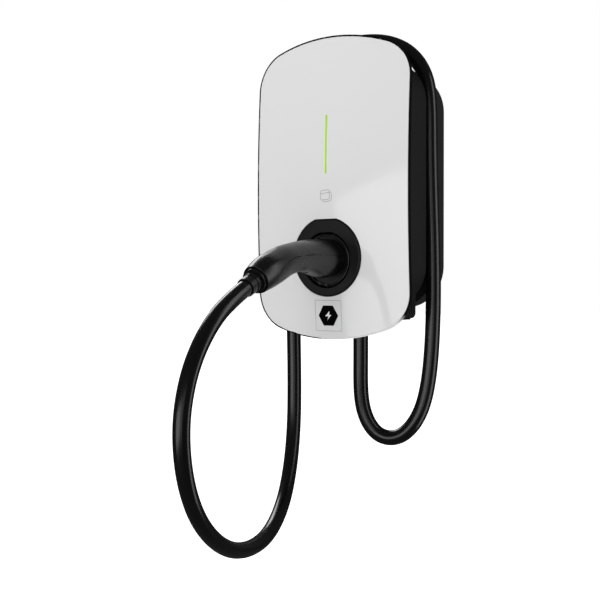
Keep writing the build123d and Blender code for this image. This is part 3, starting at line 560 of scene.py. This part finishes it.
reach = 11.7 * mm
rings = 6
field = []
for k in range(6):
    a0, a1 = math.radians(60 * k), math.radians(60 * (k + 1))
    for i in range(rings):
        r0, r1 = reach * i / rings, reach * (i + 1) / rings
        quad = [
            (r0 * math.cos(a0), label_z + r0 * math.sin(a0)),
            (r1 * math.cos(a0), label_z + r1 * math.sin(a0)),
            (r1 * math.cos(a1), label_z + r1 * math.sin(a1)),
        ]
        if i:
            quad.append((r0 * math.cos(a1), label_z + r0 * math.sin(a1)))
        field.append(quad)
print_mesh("label_field", print_and_shade_black, field, 0.00003)

bolt_upper = [(1.2, 4.6), (-2.9, -0.7), (0.3, -0.7), (0.9, 0.7)]
bolt_lower = [(-1.2, -4.6), (2.9, 0.7), (0.9, 0.7), (0.3, -0.7)]
bolt_wider = 1.3
bolt = []
for part in (bolt_upper, bolt_lower):
    bolt.append([(x * bolt_wider * mm, label_z + z * mm) for x, z in part])
print_mesh("label_bolt", white_ink, bolt, 0.00008)

# %% [markdown]
# Thin rings and edges are swept: rows of points with faces between them.

# %% Sweeping rows of points


def skin(name, material, rows, ring=True, tube=True):
    # ring: each row closes on itself; tube: the last row meets the first
    mesh = bpy.data.meshes.new(name)
    shape = bmesh.new()
    grid = [[shape.verts.new(point) for point in row] for row in rows]
    count = len(rows[0])
    for i in range(len(rows) if tube else len(rows) - 1):
        low, high = grid[i], grid[(i + 1) % len(rows)]
        for j in range(count if ring else count - 1):
            k = (j + 1) % count
            shape.faces.new([low[j], low[k], high[k], high[j]])
    bmesh.ops.recalc_face_normals(shape, faces=shape.faces)
    for face in shape.faces:
        face.smooth = True
    if not tube and sum(face.normal.y * face.calc_area() for face in shape.faces) > 0:
        bmesh.ops.reverse_faces(shape, faces=shape.faces)
    shape.to_mesh(mesh)
    shape.free()
    mesh.materials.append(material)
    obj = bpy.data.objects.new(name, mesh)
    scene.collection.objects.link(obj)
    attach(obj, "root")
    print(name, len(mesh.polygons), "faces")


# %% [markdown]
# Seen from the right, the edge of the glass looks dark along its left side and its top. A
# thin black strip laid on the glass paints that shade, and it thins out at both ends.

# %% Painted shade along the edge of the glass
end_centre = 47.25
corner = (50.5, 104.57)
corner_r = 40.0
end_r = 200.0
lean = 18.4
wide = 1.35
# each spot: centre x and z, radius, angle, share of the full width
shade_path = []
for angle, weight in ((267, 0.0), (262, 0.35), (257, 0.6)):
    shade_path.append((0.0, end_centre, end_r, angle, weight))
for i in range(13):
    angle = 270 - lean - (90 - lean) * i / 12
    shade_path.append((-corner[0], -corner[1], corner_r, angle, min(wide, 0.7 + 0.06 * i)))
for i in range(1, 12):
    shade_path.append((-corner[0], -corner[1] + 2 * corner[1] * i / 12, corner_r, 180, wide))
for i in range(13):
    angle = 180 - (90 - lean) * i / 12
    shade_path.append((-corner[0], corner[1], corner_r, angle, wide - 0.03 * i))
for i in range(1, 12):
    shade_path.append((0.0, -end_centre, end_r, 90 + lean - 2 * lean * i / 12, 1.0))
for i in range(7):
    shade_path.append((corner[0], corner[1], corner_r, 90 - lean - 6 * i, 1.0 - i / 6))


def shade_row(inset, spread, lift):
    row = []
    for x, z, radius, angle, weight in shade_path:
        reach = radius - inset - spread * weight
        a = math.radians(angle)
        x, z = (x + reach * math.cos(a)) * mm, (z + reach * math.sin(a)) * mm
        row.append(on_dome(x, z, lift))
    return row


shade_profile = ((0.3, 0.0, -0.30 * mm), (0.95, 0.0, -0.02 * mm), (1.0, 0.85, 0.04 * mm))
shade_rows = [shade_row(*spot) for spot in shade_profile]
# painted shade: a black strip on the glass where its edge looks dark
skin("glass_edge_painted_shade", print_and_shade_black, shade_rows, ring=False, tube=False)

# %% [markdown]
# Inside the holster the plug's collar ends in a rounded lip with a flat top. Two notches are
# left open in it at the bottom. A small bead rounds the mouth of the handle.

# %% Collar lip and handle bead
tilt = math.radians(2.5)
holster_origin = Vector((0, -0.0951, -0.0696))
holster_up = Vector((0, -math.sin(tilt), math.cos(tilt)))
holster_out = Vector((0, -math.cos(tilt), -math.sin(tilt)))
notch_depth = 1.4


def collar_row(inset, depth, front):
    radius, flat, drop, round_corner = 26.6, 22.9, 3.0, 5.5
    up = flat - round_corner + drop
    side = math.sqrt((radius - round_corner) ** 2 - up**2)
    turn = math.degrees(math.atan2(up, side))
    step = (90 - turn) / 8
    high = flat - round_corner
    spots = [(side, high, round_corner, turn + step * i) for i in range(9)]
    spots += [(-side, high, round_corner, 90 + step * i) for i in range(9)]
    spots += [(0, -drop, radius, 180 - turn + (180 + 2 * turn) * i / 120) for i in range(1, 120)]
    row = []
    for x, y, r, angle in spots:
        notch = front and (244 < angle < 258 or 264 < angle < 271)
        a = math.radians(angle)
        flat_x, flat_y = x + (r - inset) * math.cos(a), y + (r - inset) * math.sin(a)
        point = holster_origin + Vector((flat_x * mm, 0, 0)) + holster_up * flat_y * mm
        row.append(point - holster_out * (depth + notch_depth * notch) * mm)
    return row


# each spot: inset from the lip's outer edge, depth, and whether the notches cut it
lip_profile = [(0.0, 4.2, 0), (0.0, 2.0, 0), (0.25, 1.4, 1), (0.7, 1.1, 1)]
lip_profile += [(1.5, 1.1, 1), (1.95, 1.4, 1), (2.2, 2.0, 0), (2.2, 4.2, 0)]
skin("collar_lip", collar_black, [collar_row(*spot) for spot in lip_profile])

mouth = Vector((0.0, -0.2123, -0.0933))
mouth_tilt = math.radians(25)
mouth_out = Vector((0.0, -math.cos(mouth_tilt), -math.sin(mouth_tilt)))
mouth_up = Vector((0.0, -math.sin(mouth_tilt), math.cos(mouth_tilt)))
bead_ring, bead_r = 13.15, 0.6
bead_rows = []
for i in range(64):
    a = 2 * math.pi * i / 64
    away = Vector((math.cos(a), 0, 0)) + mouth_up * math.sin(a)
    row = []
    for j in range(10):
        t = 2 * math.pi * j / 10
        spot = away * (bead_ring + bead_r * math.cos(t)) + mouth_out * bead_r * math.sin(t)
        row.append(mouth + spot * mm)
    bead_rows.append(row)
skin("handle_mouth_bead", handle_black, bead_rows)

# %% [markdown]
# The two halves of the handle meet in a seam. A narrow black strip follows it on both
# flanks and over the top, as painted shade of its groove: rays cast from the side and from
# above find the height of the surface along the seam.

# %% Painted shade along the seam of the handle
# the seam from the holster to the clamp nut, y and z in millimetres
seam_points = [(-84.0, -69.6), (-130.0, -68.6), (-163.0, -70.6), (-179.0, -74.8), (-190.0, -80.8)]
seam_points += [(-195.6, -88.5), (-197.0, -112.0)]
shade_strip_width = 0.5
shade_strip_lift = 0.03 * mm
seam = []
for i in range(1, len(seam_points) - 2):
    p0, p1, p2, p3 = (Vector(point) for point in seam_points[i - 1 : i + 3])
    for step in range(12):
        t = step / 12
        bend = (2 * p0 - 5 * p1 + 4 * p2 - p3) * t * t + (3 * p1 - p0 - 3 * p2 + p3) * t**3
        seam.append((2 * p1 + (p2 - p0) * t + bend) / 2)
trees = []
for name in ("handle_upper", "handle_lower"):
    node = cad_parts[name]
    points = [node.matrix_world @ vertex.co for vertex in node.data.vertices]
    faces = [tuple(face.vertices) for face in node.data.polygons]
    trees.append(BVHTree.FromPolygons(points, faces))
for side, word in ((1, "right"), (-1, "left")):
    rows = []
    for here, after in zip(seam, seam[1:]):
        across = (after - here).orthogonal().normalized() * shade_strip_width / 2
        row = []
        for flat in (here - across, here + across):
            start = Vector((40.0 * side, flat.x, flat.y)) * mm
            hits = [tree.ray_cast(start, Vector((-side, 0, 0)))[0] for tree in trees]
            reach = max((abs(hit.x) for hit in hits if hit), default=0.0)
            row.append(Vector(((reach + shade_strip_lift) * side, flat.x * mm, flat.y * mm)))
        rows.append(row)
    widths = [abs(row[0].x) for row in rows]
    low, high = round(min(widths) / mm, 1), round(max(widths) / mm, 1)
    print("seam on the", word, "from", low, "to", high, "mm out")
    # painted shade: a black strip over the seam's groove
    skin("painted_seam_shade_" + word, print_and_shade_black, rows, ring=False, tube=False)
# the same painted shade over the top of the handle
rows = []
for i in range(34):
    row = []
    for x in (-shade_strip_width / 2, shade_strip_width / 2):
        start = Vector((x * mm, (-211.5 + 2.0 * i) * mm, 0.0))
        hits = [tree.ray_cast(start, Vector((0, 0, -1)))[0] for tree in trees]
        height = max(hit.z for hit in hits if hit)
        row.append(Vector((start.x, start.y, height + shade_strip_lift)))
    rows.append(row)
skin("painted_seam_shade_top", print_and_shade_black, rows, ring=False, tube=False)

# %% [markdown]
# The charging cable is the one soft piece. It is drawn as a smooth curve through the points
# of its route, with a round section, so it bends evenly as a stiff cable does.

# %% Charging cable
cable_d = 0.0154
# the route in millimetres, from the gland to the mouth of the handle
cable_route = [
    (17.3, -56.5, -108.0),
    (17.3, -56.5, -140.0),
    (17.2, -56.3, -172.0),
    (16.7, -55.8, -194.9),
    (16.9, -54.8, -211.8),
    (18.9, -53.4, -226.5),
    (24.0, -51.6, -239.8),
    (32.7, -48.8, -250.4),
    (44.6, -45.8, -254.2),
    (56.6, -42.6, -251.2),
    (66.3, -39.6, -242.5),
    (73.1, -37.0, -231.4),
    (77.7, -34.8, -219.2),
    (81.0, -32.8, -204.0),
    (83.8, -31.1, -182.0),
    (85.9, -30.0, -148.5),
    (86.8, -29.75, -105.0),
    (86.1, -29.75, -55.5),
    (84.3, -29.75, -5.0),
    (83.1, -29.75, 41.0),
    (82.9, -29.75, 78.0),
    (80.5, -29.75, 105.0),
    (72.8, -29.75, 123.6),
    (62.0, -29.75, 136.8),
    (47.2, -29.75, 147.4),
    (26.0, -29.75, 155.0),
    (0.0, -29.75, 157.6),
    (-26.0, -29.75, 155.0),
    (-47.2, -29.75, 147.4),
    (-62.0, -29.75, 136.8),
    (-72.8, -29.75, 123.6),
    (-80.5, -29.75, 105.0),
    (-83.0, -29.75, 78.0),
    (-83.6, -29.75, 32.0),
    (-84.6, -29.75, -26.0),
    (-85.4, -29.75, -86.0),
    (-85.6, -29.0, -143.0),
    (-85.0, -28.2, -198.5),
    (-82.1, -33.1, -249.8),
    (-75.1, -50.0, -294.1),
    (-62.9, -81.4, -329.1),
    (-46.7, -129.5, -350.2),
    (-31.5, -183.8, -352.3),
    (-16.9, -238.3, -338.4),
    (-5.5, -286.2, -306.7),
    (-0.4, -312.4, -265.3),
    (0.0, -318.7, -217.5),
    (0.0, -308.2, -174.3),
    (0.0, -285.6, -139.5),
    tuple(mouth / mm + mouth_out * 46),
    tuple(mouth / mm + mouth_out * 6),
]
curve = bpy.data.curves.new("charging_cable_line", "CURVE")
curve.dimensions = "3D"
curve.bevel_depth = cable_d / 2
curve.bevel_resolution = 12
curve.resolution_u = 12
curve.use_fill_caps = True
spline = curve.splines.new("NURBS")
spline.points.add(len(cable_route) - 1)
for point, (x, y, z) in zip(spline.points, cable_route):
    point.co = (x * mm, y * mm, z * mm, 1)
spline.order_u = 3
spline.use_endpoint_u = True
cable = bpy.data.objects.new("charging_cable_sheath", curve)
scene.collection.objects.link(cable)
curve.materials.append(cable_black)
cable.shadow_terminator_geometry_offset = 0.2
print("cable through", len(cable_route), "points")
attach(cable, "root")
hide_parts("charging_cable")
